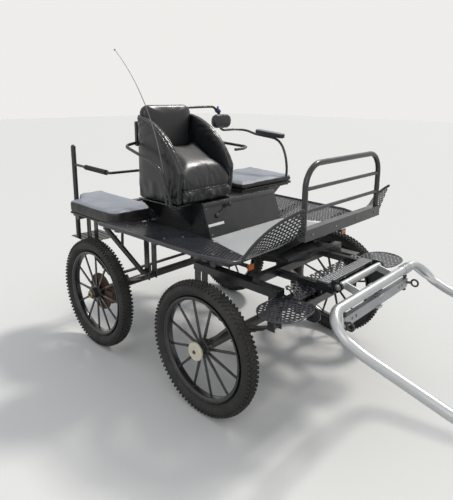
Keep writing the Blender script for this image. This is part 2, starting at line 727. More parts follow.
def makeKnobRow(row):
    along, seat, lean = tyreLook["knobRows"][row]
    knob = startBlock(tyreLook["knobSize"])
    bpy.ops.object.mode_set(mode="EDIT")
    bpy.ops.mesh.select_mode(type="FACE")
    bpy.ops.mesh.select_all(action="DESELECT")
    bpy.ops.object.mode_set(mode="OBJECT")
    for face in knob.data.polygons:
        face.select = face.normal.z > 0.9
    bpy.ops.object.mode_set(mode="EDIT")
    bpy.ops.transform.resize(value=(tyreLook["knobTaper"], tyreLook["knobTaper"], 1.0))
    bpy.ops.object.mode_set(mode="OBJECT")
    applyModifier(knob, "BEVEL", width=tyreLook["knobBevel"], segments=1)
    moveMesh(knob, (0, along, seat), Matrix.Rotation(math.radians(lean), 4, "X"))
    knob.data.transform(Matrix.Rotation(math.pi / tyreLook["knobCount"] * (row % 2), 4, "Y"))
    pivot = bpy.data.objects.new("knobPivot", None)
    bpy.context.scene.collection.objects.link(pivot)
    pivot.rotation_euler = (0, 2 * math.pi / tyreLook["knobCount"], 0)
    bpy.context.view_layer.update()
    applyModifier(knob, "ARRAY", count=tyreLook["knobCount"], use_relative_offset=False,
                  use_object_offset=True, offset_object=pivot)
    bpy.data.objects.remove(pivot)
    return knob


def makeCarcass():
    outer = tyreLook["radius"] - tyreLook["root"]
    middle = (outer + tyreLook["bead"]) / 2
    reach = (outer - tyreLook["bead"]) / 2
    outline = []
    for k in range(tyreLook["ring"]):
        angle = math.pi / 2 + 2 * math.pi * k / tyreLook["ring"]
        atBead = math.cos(angle) <= tyreLook["beadFrom"]
        width = tyreLook["halfWidth"] * tyreLook["beadShare" if atBead else "crownShare"]
        outline.append((middle + reach * math.cos(angle), width * math.sin(angle)))
    return startSpun(outline, tyreLook["steps"])


tyrePieces = [makeCarcass()] + [makeKnobRow(row) for row in range(len(tyreLook["knobRows"]))]
tyreModel = joinPieces("tyreModel", tyrePieces)
for axle in axles:
    dressWheels(tyreModel, axle, "tyreKnobbly_", "tyre_", "tyre_rubber", "tyreRubber")
bpy.data.objects.remove(tyreModel)
print("scene: tyres made")


# Wheels: a spun rim and hub, and twelve flat spokes that taper toward the rim
spokeLook = {"count": 12, "hub": 0.032, "rim": 0.2525, "hubHalf": 0.0082, "rimHalf": 0.0056,
             "thickHalf": 0.004, "bevel": 0.0016, "firstTurn": {"front": 15.0, "rear": 0.0}, "steps": 96}
# Half outlines from the middle plane outward, as pairs of a radius and a place along the axle
rimHalf = ((0.2680, 0.0260), (0.2612, 0.0260), (0.2600, 0.0222), (0.2515, 0.0190), (0.2490, 0.0150))
hubHalf = ((0.0490, 0.0075), (0.0475, 0.0090), (0.0340, 0.0090), (0.0340, 0.0380), (0.0300, 0.0420),
           (0.0205, 0.0420))


def wholeOutline(half):
    return [(radius, -along) for radius, along in reversed(half)] + list(half)


def makeSpoke():
    spoke = startBlock()
    for vertex in spoke.data.vertices:
        end = "hub" if vertex.co.x < 0 else "rim"
        vertex.co = (spokeLook[end], math.copysign(spokeLook["thickHalf"], vertex.co.y),
                     math.copysign(spokeLook[end + "Half"], vertex.co.z))
    applyModifier(spoke, "BEVEL", width=spokeLook["bevel"], segments=2)
    return spoke


def makeWheelModel(firstTurn):
    pieces = [startSpun(wholeOutline(rimHalf), spokeLook["steps"]),
              startSpun(wholeOutline(hubHalf), spokeLook["steps"] // 2)]
    model = makeSpoke()
    for k in range(spokeLook["count"]):
        spoke = copyPiece(model, "spoke")
        turn = math.radians(firstTurn + 360.0 * k / spokeLook["count"])
        spoke.data.transform(Matrix.Rotation(turn, 4, "Y"))
        pieces.append(spoke)
    bpy.data.objects.remove(model)
    return joinPieces("wheelModel", pieces)


for axle in axles:
    wheelModel = makeWheelModel(spokeLook["firstTurn"][axle])
    dressWheels(wheelModel, axle, "wheelSpoked_", "wheel_", "wheel_paint", "wheelPaint")
    bpy.data.objects.remove(wheelModel)
print("scene: wheels made")


# Perforated plates: one cell with a round hole, arrayed, cut to a convex outline and thickened

plateLook = {"pitch": 0.020, "hole": 0.0069, "thick": 0.0035, "lift": 0.002, "wingThick": 0.003,
             "holeSides": 12, "mergeShare": 0.02}


# The outline is a list of flat points in order; a sheet of no thickness is bent and thickened later
def makePerforated(name, outline, pitch, hole, thick):
    clearSelection()
    bpy.ops.mesh.primitive_circle_add(vertices=plateLook["holeSides"], radius=hole, fill_type="NOTHING")
    cell = bpy.context.object
    editAll(cell)
    bpy.ops.mesh.extrude_edges_move()
    corner = pitch / math.sqrt(3)
    bpy.ops.transform.resize(value=(corner / hole, corner / hole, 1))
    bpy.ops.object.mode_set(mode="OBJECT")
    for vertex in cell.data.vertices:  # the outer ring becomes a hexagon
        flatPart = Vector((vertex.co.x, vertex.co.y))
        turn = math.degrees(math.atan2(flatPart.y, flatPart.x)) % 60
        if flatPart.length > (hole + corner) / 2 and min(turn, 60 - turn) < 5:
            vertex.co *= math.cos(math.pi / 6)
    lows = [min(point[i] for point in outline) for i in range(2)]
    highs = [max(point[i] for point in outline) for i in range(2)]
    rowStep = pitch * math.sqrt(3)
    columns = int((highs[0] - lows[0]) / pitch) + 3
    rows = int((highs[1] - lows[1]) / rowStep) + 3
    for count, step in ((2, (pitch / 2, rowStep / 2, 0)), (columns, (pitch, 0, 0)), (rows, (0, rowStep, 0))):
        applyModifier(cell, "ARRAY", count=count, use_relative_offset=False, use_constant_offset=True,
                      constant_offset_displace=step, use_merge_vertices=True,
                      merge_threshold=pitch * plateLook["mergeShare"])
    moveMesh(cell, (lows[0] - pitch, lows[1] - rowStep / 2, 0))
    makeActive(cell)
    bpy.ops.object.mode_set(mode="EDIT")
    ends = outline[1:] + outline[:1]
    area = sum(start[0] * end[1] - end[0] * start[1] for start, end in zip(outline, ends))
    for start, end in zip(outline, ends):
        a, b = Vector((*start, 0)), Vector((*end, 0))
        outward = (b - a).cross(Vector((0, 0, math.copysign(1, area))))
        bpy.ops.mesh.select_all(action="SELECT")
        bpy.ops.mesh.bisect(plane_co=a, plane_no=outward, clear_outer=True)
    bpy.ops.object.mode_set(mode="OBJECT")
    applyModifier(cell, "SOLIDIFY", thickness=thick, offset=0)
    cell.name = name
    return cell


# A left piece and its mirrored twin stand for two nodes of the chassis
def standForBoth(left, pieceName, nodeName, finish):
    right = mirrored(left, pieceName + "Right")
    for piece, side in ((left, "left"), (right, "right")):
        standFor(nodeName + "_" + side, "black_steel", piece, finish, "chassis")


platformLook = {"outline": [(0.120, 0.442), (0.205, 0.590), (0.030, 0.650), (-0.780, 0.680),
                            (-0.780, 0.330), (-0.235, 0.330)],
                "hingeY": 0.330, "low": 0.795, "slope": 9.0, "tube": 0.011, "bends": (0.040, 0.060)}
platformSlope = math.radians(platformLook["slope"])


# Height of a platform's plate at a distance from the middle
def platformTop(y):
    return platformLook["low"] + (y - platformLook["hingeY"]) * math.tan(platformSlope)


def makePlatform():
    hingeY = platformLook["hingeY"]
    flatOutline = [(x, (y - hingeY) / math.cos(platformSlope)) for x, y in platformLook["outline"]]
    plate = makePerforated("platformPlate", flatOutline, plateLook["pitch"], plateLook["hole"],
                           plateLook["thick"])
    moveMesh(plate, at(0, hingeY, platformLook["low"]),
             Matrix.Rotation(platformSlope, 4, "X") @ Matrix.Translation((0, 0, plateLook["lift"])))
    edge = [at(x, y, platformTop(y)) for x, y in platformLook["outline"][:4]]
    rim = makeRod("platformRim", roundCorners(edge, platformLook["bends"]), platformLook["tube"])
    return joinPieces("platformPerforatedLeft", [plate, rim])


wingLook = {"foot": ((0.124, 0.432, 0.800), (0.407, 0.3605, 0.967)),
            "top": ((0.215, 0.568, 0.850), (0.300, 0.500, 0.985), (0.428, 0.408, 1.092)),
            "bead": 0.007, "beadSteps": 24, "long": 0.335, "high": 0.155}


# The upper edge of a wing is an arc through three points
def wingTop(share):
    return arcPoint(*[Vector(point) for point in wingLook["top"]], share)


def makeWing():
    long, high = wingLook["long"], wingLook["high"]
    sheet = makePerforated("wingSheet", [(0, 0), (long, 0), (long, high), (0, high)],
                           plateLook["pitch"], plateLook["hole"], 0)
    footStart, footEnd = [Vector(point) for point in wingLook["foot"]]
    for vertex in sheet.data.vertices:
        along = vertex.co.x / long
        upward = vertex.co.y / high
        vertex.co = at(*footStart.lerp(footEnd, along).lerp(wingTop(along), upward))
    applyModifier(sheet, "SOLIDIFY", thickness=plateLook["wingThick"], offset=0)
    steps = wingLook["beadSteps"]
    bead = makeRod("wingBead", [at(*wingTop(k / steps)) for k in range(steps + 1)], wingLook["bead"])
    return joinPieces("wingPerforatedLeft", [sheet, bead])


stepLook = {"front": 0.498, "rear": 0.280, "inner": 0.345, "outer": 0.605, "corner": 0.078, "level": 0.638,
            "rim": 0.004, "pitch": 0.024, "hole": 0.0085}


# From the rear inner corner round the front one, then round the outer end
def stepOutline():
    radius = (stepLook["front"] - stepLook["rear"]) / 2
    middle = (stepLook["front"] + stepLook["rear"]) / 2
    corner = stepLook["corner"]
    points = [(stepLook["rear"], stepLook["inner"])]
    bends = ((stepLook["front"] - corner, stepLook["inner"] + corner, corner,
              [-90 + 22.5 * k for k in range(5)]),
             (middle, stepLook["outer"] - radius, radius, [15 * k for k in range(13)]))
    for centreX, centreY, bend, turns in bends:
        for turn in map(math.radians, turns):
            points.append((centreX + bend * math.cos(turn), centreY + bend * math.sin(turn)))
    return points


def makeStep():
    outline = stepOutline()
    plate = makePerforated("stepPlate", outline, stepLook["pitch"], stepLook["hole"], plateLook["thick"])
    moveMesh(plate, at(0, 0, stepLook["level"]))
    rim = makeRod("stepRim", [at(x, y, stepLook["level"]) for x, y in outline], stepLook["rim"], True)
    return joinPieces("stepLeft", [plate, rim])


treadLook = {"front": 0.418, "fold": 0.382, "rear": 0.290, "rise": 0.040, "half": 0.345,
             "rib": (0.008, 0.44, 0.004), "ribBevel": 0.0015, "ribCount": 5, "ribStep": 0.0125,
             "ribStart": 0.400, "ribMiddle": 0.7097}


# The tread between the steps is flat in front and climbs behind its fold
def makeTread():
    flatPart = treadLook["front"] - treadLook["fold"]
    run = treadLook["fold"] - treadLook["rear"]
    slant = math.hypot(run, treadLook["rise"])
    half, whole = treadLook["half"], flatPart + slant
    sheet = makePerforated("treadSheet", [(0, -half), (whole, -half), (whole, half), (0, half)],
                           stepLook["pitch"], stepLook["hole"], 0)
    for vertex in sheet.data.vertices:
        beyond = max(vertex.co.x - flatPart, 0) / slant
        x = treadLook["front"] - min(vertex.co.x, flatPart) - beyond * run
        vertex.co = at(x, vertex.co.y, stepLook["level"] + beyond * treadLook["rise"])
    applyModifier(sheet, "SOLIDIFY", thickness=plateLook["thick"], offset=0)
    return sheet


def dressSteps():
    left = makeStep()
    steps = joinPieces("frontStepsPerforated", [left, mirrored(left, "stepRight"), makeTread()])
    standFor("front_steps", "black_steel", steps, "bluePlate", "undercarriage")


def makeRibs():
    rib = startBlock(treadLook["rib"])
    applyModifier(rib, "BEVEL", width=treadLook["ribBevel"], segments=2)
    moveMesh(rib, at(treadLook["ribStart"], 0, treadLook["ribMiddle"]))
    applyModifier(rib, "ARRAY", count=treadLook["ribCount"], use_relative_offset=False,
                  use_constant_offset=True, constant_offset_displace=(treadLook["ribStep"], 0, 0))
    rib.name = "crossPlateRibs"
    finishPiece(rib, "swingMetal", "undercarriage")


toeLook = {"low": (0.1226, 0.795), "high": (0.367, 0.965), "halfLow": 0.430, "halfHigh": 0.346}


def dressToeBoard():
    start, end = (Vector((x, 0, z)) for x, z in (toeLook["low"], toeLook["high"]))
    run = (end - start).length
    halfLow, halfHigh = toeLook["halfLow"], toeLook["halfHigh"]
    outline = [(0, -halfLow), (run, -halfHigh), (run, halfHigh), (0, halfLow)]
    board = makePerforated("toeBoardPerforated", outline, plateLook["pitch"], plateLook["hole"],
                           plateLook["thick"])
    moveMesh(board, (0, 0, plateLook["lift"]))
    climb = math.atan2(end.z - start.z, end.x - start.x)
    moveMesh(board, at(*start), Matrix.Rotation(-climb, 4, "Y"))
    standFor("toe_board", "grey_plate", board, "greyPlate", "chassis")


# The slots of the rear steps are round holes, stretched across the carriage
rearStepLook = {"pitch": 0.020, "hole": 0.0062, "stretch": 2.1, "thick": 0.005, "inner": 0.280}


def dressRearSteps():
    low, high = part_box("rear_steps")
    stretch = rearStepLook["stretch"]
    inner, outer = rearStepLook["inner"] / stretch, high.y / stretch
    left = makePerforated("rearStepLeft", [(low.x, inner), (high.x, inner), (high.x, outer), (low.x, outer)],
                          rearStepLook["pitch"], rearStepLook["hole"], rearStepLook["thick"])
    moveMesh(left, (0, 0, (low.z + high.z) / 2), Matrix.Scale(stretch, 4, (0, 1, 0)))
    steps = joinPieces("rearStepsSlotted", [left, mirrored(left, "rearStepRight")])
    standFor("rear_steps", "black_steel", steps, "blackSteel", "chassis")


standForBoth(makePlatform(), "platformPerforated", "platform", "bluePlate")
standForBoth(makeWing(), "wingPerforated", "wing", "blackSteel")
dressSteps()
makeRibs()
dressToeBoard()
dressRearSteps()
print("scene: perforated plates made")


# Bent tubes round the seat and the passenger's place, with the whip and its socket
railLook = {"radius": 0.0085, "bendSteps": 10, "rings": 5, "plateHeights": (1.285, 1.425), "plateWide": 0.030,
            "plateThick": 0.0195, "plateBevel": 0.003, "rearX": -0.690, "plateSides": (-0.451, -0.061),
            "right": ((-0.702, -0.452, 1.305), (-0.702, -0.543, 1.292), (-0.440, -0.550, 1.225),
                      (-0.376, -0.545, 1.188), (-0.362, -0.500, 1.030), (-0.362, -0.496, 0.9705),
                      (-0.362, -0.430, 0.9705)),
            "rightBends": (0.042, 0.10, 0.06, 0.08, 0.02),
            "left": ((-0.702, -0.060, 1.296), (-0.702, 0.072, 1.292), (-0.330, 0.076, 1.272),
                     (-0.305, 0.020, 1.268), (-0.318, -0.0397, 1.264)),
            "leftBends": (0.055, 0.032, 0.030),
            "passenger": ((-0.775, -0.100, 1.494), (-0.775, 0.228, 1.498), (-0.775, 0.288, 1.462),
                          (-0.775, 0.296, 1.335), (-0.775, 0.440, 1.335), (-0.745, 0.530, 1.330),
                          (-0.640, 0.530, 1.304), (-0.425, 0.530, 1.282), (-0.372, 0.530, 1.176),
                          (-0.358, 0.530, 1.080), (-0.366, 0.530, 0.995)),
            "passengerBends": (0.07, 0.05, 0.05, 0.10, 0.06, 0.20, 0.12, 0.30, 0.30)}
whipLook = {"butt": (-0.392, -0.498, 1.001), "bow": (-0.512, -0.500, 1.444), "tip": (-0.823, -0.500, 1.819),
            "radius": 0.0034, "thin": 0.42, "steps": 32, "socketShare": 0.13, "socketRadius": 0.0085,
            "tieShare": 0.03, "tieEnd": (-0.362, -0.499, 1.022), "tieRadius": 0.005,
            "tipRadius": 0.005, "tipShare": 0.998}


def whipPoint(share):
    return arcPoint(*[at(*whipLook[name]) for name in ("butt", "bow", "tip")], share)


def makeBackPlate(y):
    low, high = railLook["plateHeights"]
    thick = railLook["plateThick"]
    plate = startBlock((thick, railLook["plateWide"], high - low))
    applyModifier(plate, "BEVEL", width=railLook["plateBevel"], segments=2)
    moveMesh(plate, at(railLook["rearX"] - thick / 2, y, (low + high) / 2))
    return plate


def makeRail(name, line):
    places = [at(*place) for place in railLook[line]]
    points = roundCorners(places, railLook[line + "Bends"], railLook["bendSteps"])
    return makeRod(name, points, railLook["radius"], rings=railLook["rings"])


def dressRails():
    rails = [makeRail("rightRail", "right"), makeRail("leftRail", "left")]
    rails += [makeBackPlate(y) for y in railLook["plateSides"]]
    rails.append(makeRod("whipSocket", [whipPoint(0.0), whipPoint(whipLook["socketShare"])],
                         whipLook["socketRadius"], rings=railLook["rings"]))
    rails.append(makeRod("socketTie", [whipPoint(whipLook["tieShare"]), at(*whipLook["tieEnd"])],
                         whipLook["tieRadius"]))
    standFor("driver_rails", "black_steel", joinPieces("driverRails", rails), "blackSteel", "chassis")
    standFor("passenger_tube", "black_steel", makeRail("passengerTube", "passenger"), "blackSteel", "chassis")
    print("scene: rails made")


def dressWhip():
    steps = whipLook["steps"]
    rod = makeRod("whipRodPiece", [whipPoint(k / steps) for k in range(steps + 1)], whipLook["radius"],
                  thin=whipLook["thin"])
    tip = startBall(whipLook["tipRadius"], 16, 10)
    moveMesh(tip, whipPoint(whipLook["tipShare"]))
    standFor("whip", "whip_rod", joinPieces("drivingWhip", [rod, tip]), "whipRod", "chassis")


dressRails()
dressWhip()


# Bolts: a six-sided head on a round washer, set by tables of a place, a way out and a radius
boltLook = {"headHigh": 0.65, "washerWide": 1.35, "washerHigh": 0.18, "bevel": 0.12, "washerBevel": 0.3,
            "sides": 6, "washerSides": 16}


def turnedTo(way):
    return Vector(way).to_track_quat("Z", "Y").to_matrix().to_4x4()


def makeDisc(radius, high, sides, bevel):
    clearSelection()
    bpy.ops.mesh.primitive_cylinder_add(vertices=sides, radius=radius, depth=high)
    disc = bpy.context.object
    moveMesh(disc, (0, 0, high / 2))
    applyModifier(disc, "BEVEL", width=bevel, segments=2, limit_method="ANGLE")
    return disc


def makeBolt(place, way, radius):
    washerHigh = radius * boltLook["washerHigh"]
    head = makeDisc(radius, radius * boltLook["headHigh"], boltLook["sides"], radius * boltLook["bevel"])
    moveMesh(head, (0, 0, washerHigh))
    washer = makeDisc(radius * boltLook["washerWide"], washerHigh, boltLook["washerSides"],
                      washerHigh * boltLook["washerBevel"])
    bolt = joinPieces("bolt", [head, washer])
    moveMesh(bolt, place, turnedTo(way))
    return bolt


def dressBolts(name, finish, body, rows):
    bolts = [makeBolt(at(*place), way, radius) for place, way, radius in rows]
    finishPiece(joinPieces(name, bolts), finish, body)


def bothSides(rows):
    return rows + [((x, -y, z), (way[0], -way[1], way[2]), radius) for (x, y, z), way, radius in rows]


# Places on the left side; on the right each has its twin
boltPlaces = {"platformX": (-0.642, -0.320, 0.040), "platformY": (0.45, 0.58), "platformRise": 0.005,
              "platformRadius": 0.006,
              "dash": ((0.407, 0.10, 0.957), (0.407, 0.30, 0.957)), "dashRadius": 0.005,
              "caliper": ((-0.880, 0.550, 0.366), (-0.836, 0.550, 0.334)), "caliperRadius": 0.006,
              "clampX": 0.031, "clampY": 0.026, "clampZ": 0.411, "clampRadius": 0.0065,
              "hinge": (0.505, 0.218, 0.703), "hingeRadius": 0.012, "step": (0.400, 0.372, 0.640),
              "stepRadius": 0.006, "pin": (0.600, 0, 0.6352), "pinRadius": 0.011,
              "swing": ((0.612, 0.225, 0.600), (0.612, 0.262, 0.600)), "swingRadius": 0.005}
platformWay = (0, -math.sin(platformSlope), math.cos(platformSlope))
platformBolts = [
    ((x, y, platformTop(y) + boltPlaces["platformRise"]), platformWay, boltPlaces["platformRadius"])
    for x in boltPlaces["platformX"] for y in boltPlaces["platformY"]]
dashBolts = [(place, (1, 0, 0), boltPlaces["dashRadius"]) for place in boltPlaces["dash"]]
caliperBolts = [(place, (0, -1, 0), boltPlaces["caliperRadius"]) for place in boltPlaces["caliper"]]


def clampNuts(axle):
    return [((axles[axle]["x"] + dx, axles[axle]["springY"] + dy, boltPlaces["clampZ"]), (0, 0, 1),
             boltPlaces["clampRadius"]) for dx in (-boltPlaces["clampX"], boltPlaces["clampX"])
            for dy in (-boltPlaces["clampY"], boltPlaces["clampY"])]


dressBolts("bodyBolts", "boltMetal", "chassis",
           bothSides(platformBolts + dashBolts + caliperBolts + clampNuts("rear")))
dressBolts("undercarriageBolts", "boltMetal", "undercarriage", bothSides(
    clampNuts("front") + [(boltPlaces["hinge"], (0, 1, 0), boltPlaces["hingeRadius"]),
                          (boltPlaces["step"], (0, 0, 1), boltPlaces["stepRadius"])]))
dressBolts("shaftBolts", "boltMetal", "shafts", [(boltPlaces["pin"], (0, 0, 1), boltPlaces["pinRadius"])])
dressBolts("swingletreeBolts", "boltMetal", "swingletree_body",
           bothSides([(place, (1, 0, 0), boltPlaces["swingRadius"]) for place in boltPlaces["swing"]]))


# U-bolts that hold each spring's pad to its axle
uBoltLook = {"reach": 0.031, "radius": 0.004, "top": 0.421, "side": 0.026, "steps": 12}


def makeUBolt(axleX, y):
    reach, steps = uBoltLook["reach"], uBoltLook["steps"]
    line = [at(axleX - reach, y, uBoltLook["top"])]
    for k in range(steps + 1):
        turn = math.pi * (1 + k / steps)
        line.append(at(axleX + reach * math.cos(turn), y, wheelHeight + reach * math.sin(turn)))
    line.append(at(axleX + reach, y, uBoltLook["top"]))
    return makeRod("uBolt", line, uBoltLook["radius"])


for axle in axles.values():
    uBolts = [makeUBolt(axle["x"], side * (axle["springY"] + dy)) for side in (-1, 1)
              for dy in (-uBoltLook["side"], uBoltLook["side"])]
    finishPiece(joinPieces("uBolts_" + axle["springBody"], uBolts), "springSteel", axle["springBody"])
print("scene: bolts made")


# Wheel trim: centre bolts of the caps, small bolts round the flanges, a valve on each rim
trimLook = {"y": 0.610, "capFace": 0.056, "capBolt": 0.0075, "flangeFace": 0.009, "flangeRadius": 0.042,
            "flangeBolt": 0.0035, "valveRadius": 0.0035, "valveLong": 0.030, "valveBevel": 0.001,
            "rim": 0.249, "firstTurn": {"front": 0, "rear": 15}}


def dressTrim(axle, sideName, side):
    axleX = axles[axle]["x"]
    turns = [math.radians(30 * k + trimLook["firstTurn"][axle]) for k in range(12)]
    ring, flangeY = trimLook["flangeRadius"], side * (trimLook["y"] + trimLook["flangeFace"])
    rows = [((axleX + ring * math.cos(turn), flangeY, wheelHeight + ring * math.sin(turn)), (0, side, 0),
             trimLook["flangeBolt"]) for turn in turns[::2]]
    rows.append(((axleX, side * (trimLook["y"] + trimLook["capFace"]), wheelHeight), (0, side, 0),
                 trimLook["capBolt"]))
    name = axle + "_" + sideName
    dressBolts("hubBolts_" + name, "axleSteel", "wheel_" + name + "_body", rows)
    valve = makeDisc(trimLook["valveRadius"], trimLook["valveLong"], 12, trimLook["valveBevel"])
    outward = Vector((math.cos(turns[1]), 0, math.sin(turns[1])))
    centre = at(axleX, side * trimLook["y"], wheelHeight)
    moveMesh(valve, centre + outward * trimLook["rim"], turnedTo(-outward))
    valve.name = "valve_" + name
    finishPiece(valve, "boltMetal", "wheel_" + name + "_body")


for axle in axles:
    dressTrim(axle, "right", -1)
    dressTrim(axle, "left", 1)
print("scene: wheel trim made")


# Seat box: blank label, latch with a ball knob, lip of the lid, screws
boxLook = {"foot": (-0.235, 0.795), "head": (-0.305, 0.985), "label": (0.0012, 0.123, 0.015),
           "labelAt": (-0.2515, 0.8645), "labelBevel": 0.0003, "lip": (0.005, 0.632, 0.024),
           "lipAt": (0.0, 0.971), "lipBevel": 0.002, "pivotAt": (-0.231, 0.908), "pivot": (0.013, 0.010),
           "pivotBevel": 0.002, "leverPlaces": ((-0.231, 0.908, 0.009), (-0.180, 0.930, 0.016),
                                                (-0.133, 0.951, 0.022)),
           "lever": 0.0042, "knobAt": (-0.133, 0.951), "knob": 0.0125, "knobOut": 0.026, "knobFlat": 0.92,
           "stem": 0.005, "stemOut": 0.02, "screw": 0.004,
           "screws": ((-0.300, 0.815), (0.300, 0.815), (-0.300, 0.955), (0.300, 0.955))}
(footX, footZ), (headX, headZ) = boxLook["foot"], boxLook["head"]
boxSlope = Vector((headX - footX, 0, headZ - footZ)).normalized()
boxOut = Vector((boxSlope.z, 0, -boxSlope.x))


def onBox(y, z, out=0.0):
    return at(footX + (z - footZ) / (headZ - footZ) * (headX - footX), y, z) + boxOut * out


def boxPlate(name, part, finish):
    size = boxLook[part]
    plate = startBlock(size)
    applyModifier(plate, "BEVEL", width=boxLook[part + "Bevel"], segments=2)
    turn = Matrix((boxOut, Vector((0, 1, 0)), boxSlope)).transposed().to_4x4()
    moveMesh(plate, onBox(*boxLook[part + "At"], size[0] / 2), turn)
    plate.name = name
    finishPiece(plate, finish, "chassis")


def dressBox():
    boxPlate("blankLabel", "label", "labelWhite")
    boxPlate("boxLip", "lip", "blackSteel")
    pivot = makeDisc(*boxLook["pivot"], 24, boxLook["pivotBevel"])
    moveMesh(pivot, onBox(*boxLook["pivotAt"]), turnedTo(boxOut))
    lever = makeRod("latchLever", [onBox(*place) for place in boxLook["leverPlaces"]], boxLook["lever"])
    knobY, knobZ = boxLook["knobAt"]
    knob = startBall(boxLook["knob"], 24, 14)
    moveMesh(knob, onBox(knobY, knobZ, boxLook["knobOut"]), Matrix.Scale(boxLook["knobFlat"], 4, boxOut))
    stem = makeRod("knobStem", [onBox(knobY, knobZ, out) for out in (0, boxLook["stemOut"])], boxLook["stem"])
    finishPiece(joinPieces("boxLatch", [pivot, lever, knob, stem]), "wheelPaint", "chassis")
    screws = [makeBolt(onBox(*place), boxOut, boxLook["screw"]) for place in boxLook["screws"]]
    finishPiece(joinPieces("boxScrews", screws), "boltMetal", "chassis")


dressBox()


# Seat trim: piping along the bolsters' crowns, bolts at the near bolster's top, the cushion's seam
seatLook = {"rear": -0.690, "front": -0.312, "top": 1.468, "frontTop": 1.165, "crownShare": 0.66,
            "crownRise": 0.60, "piping": 0.0034, "steps": 26, "skin": 0.0008, "pipingFrom": 0.03,
            "pipingTo": 0.98, "inside": (0.02, -0.10), "away": 0.05, "rightFaces": (-0.4655, -0.4365),
            "leftFaces": (-0.0755, -0.0465), "seamEnds": (-0.425, -0.086), "seamFrom": -0.20,
            "bolts": ((-0.657, 1.414), (-0.649, 1.352)), "bolt": 0.0075, "boltFrom": -0.60}


def bolsterTop(share):
    crownX = seatLook["rear"] + (seatLook["front"] - seatLook["rear"]) * seatLook["crownShare"]
    crownZ = seatLook["frontTop"] + (seatLook["top"] - seatLook["frontTop"]) * seatLook["crownRise"]
    return arcPoint(Vector((seatLook["rear"], 0, seatLook["top"])), Vector((crownX, 0, crownZ)),
                    Vector((seatLook["front"], 0, seatLook["frontTop"])), share)


# The place where a ray from outside first meets a soft piece, or none
def surfaceOf(piece, start, way):
    hit, place, normal, index = piece.ray_cast(start, way)
    return place + normal * seatLook["skin"] if hit else None


# A thin cord along the places where rays meet a soft piece
def makePiping(name, piece, rays):
    places = [surfaceOf(piece, start, way) for start, way in rays]
    return makeRod(name, [place for place in places if place], seatLook["piping"])


# Rays toward a point inside a bolster, from along its crown
def crownRays(y):
    insideX, insideZ = seatLook["inside"]
    inside = Vector((seatLook["rear"] + insideX, 0, seatLook["frontTop"] + insideZ))
    for k in range(seatLook["steps"] + 1):
        run = seatLook["pipingTo"] - seatLook["pipingFrom"]
        edge = bolsterTop(seatLook["pipingFrom"] + run * k / seatLook["steps"])
        start = at(edge.x, y, edge.z) + (edge - inside).normalized() * seatLook["away"]
        yield start, (at(inside.x, y, inside.z) - start).normalized()


def dressSeat():
    right, left, cushion = (bpy.data.objects[name + "Soft"] for name in (
        "seat_bolster_right", "seat_bolster_left", "seat_cushion"))
    piping = [makePiping("piping", piece, crownRays(y))
              for piece, faces in ((right, "rightFaces"), (left, "leftFaces")) for y in seatLook[faces]]
    finishPiece(joinPieces("seatPiping", piping), "blackPiping", "chassis")
    bolts = [makeBolt(surfaceOf(right, at(x, seatLook["boltFrom"], z), Vector((0, 1, 0))), (0, -1, 0),
                      seatLook["bolt"]) for x, z in seatLook["bolts"]]
    finishPiece(joinPieces("bolsterBolts", bolts), "boltMetal", "chassis")
    first, last = seatLook["seamEnds"]
    starts = [at(seatLook["seamFrom"], first + (last - first) * k / seatLook["steps"],
                 softLooks["seat_cushion"]["seamHeight"]) for k in range(seatLook["steps"] + 1)]
    rays = [(start, Vector((-1, 0, 0))) for start in starts]
    finishPiece(makePiping("cushionSeam", cushion, rays), "blackPiping", "chassis")


dressSeat()
print("scene: seat trim made")


# Small fittings: clamp on the passenger's tube, wrap on the cross bar, swivels, reflector frames
fittingLook = {"clampAt": (-0.775, 0.262, 1.4772), "clampWay": (0, 0.06, -0.036), "clamp": (0.0165, 0.034),
               "clampBevel": 0.004, "wingAt": (-0.775, 0.278, 1.478), "wing": (0.006, 0.022),
               "wingBevel": 0.002,
               "wrapAt": (0.603, 0.270, 0.680), "wrapStep": 0.011, "wrapCount": 7, "wrapRing": 0.0240,
               "wrapRod": 0.0032, "swivelX": 0.600, "swivelY": 0.316, "swivelLow": 0.562, "swivelHigh": 0.640,
               "swivelRadius": 0.0075, "ball": 0.0115, "ballFlat": 0.75, "ballDrop": 0.003,
               "frame": 0.040, "frameRod": 0.0022, "frameBack": 0.0015}


def makeRing(along):
    clearSelection()
    bpy.ops.mesh.primitive_torus_add(major_radius=fittingLook["wrapRing"], major_segments=32,
                                     minor_radius=fittingLook["wrapRod"], minor_segments=10)
    ring = bpy.context.object
    x, y, z = fittingLook["wrapAt"]
    moveMesh(ring, at(x, y + along, z), turnedTo((0, 1, 0)))
    return ring


def makeSwivel(y):
    x, low, high = (fittingLook[name] for name in ("swivelX", "swivelLow", "swivelHigh"))
    pieces = [makeRod("swivel", [at(x, y, low), at(x, y, high)], fittingLook["swivelRadius"])]
    for z in (low, high - fittingLook["ballDrop"]):
        ball = startBall(fittingLook["ball"], 20, 12)
        moveMesh(ball, at(x, y, z), Matrix.Scale(fittingLook["ballFlat"], 4, (0, 0, 1)))
        pieces.append(ball)
    return pieces


